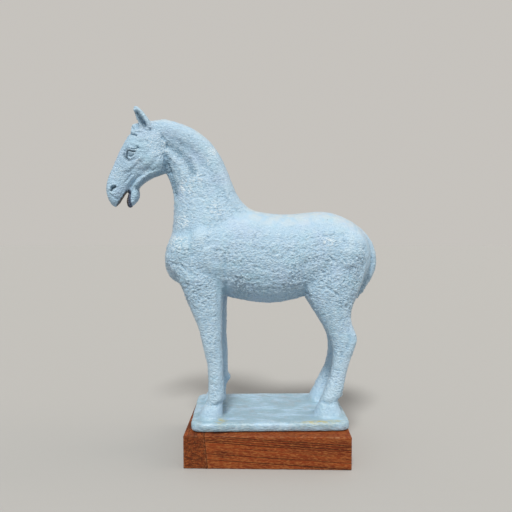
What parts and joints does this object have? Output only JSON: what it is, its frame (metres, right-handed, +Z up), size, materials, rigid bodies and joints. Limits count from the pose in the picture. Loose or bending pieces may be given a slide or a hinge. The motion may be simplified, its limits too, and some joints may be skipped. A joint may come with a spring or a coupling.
{
  "type": "standing horse statuette on a wooden plinth",
  "caption": "Standing horse with arched neck, open mouth and clipped mane, cast with a thin slab, painted pale blue, on a low hardwood plinth.",
  "frame": {"origin": "middle of the plinth's underside, on the surface it stands on", "axes": "+Z up; the plinth's length runs along X and its depth along Y; the horse faces -X and its left side faces -Y"},
  "size_m": [0.2984, 0.118, 0.3766],
  "materials": {
    "blue_paint": "matt powder-blue paint over rough plaster relief",
    "plinth_wood": "oiled reddish-brown hardwood, worn along its edges",
    "plinth_end_grain": "oiled end grain, darker and drier than the block"
  },
  "bodies": {
    "root": {"horse": "blue_paint", "plinth_block": "plinth_wood", "plinth_end_strip": "plinth_end_grain"}
  },
  "joints": []
}
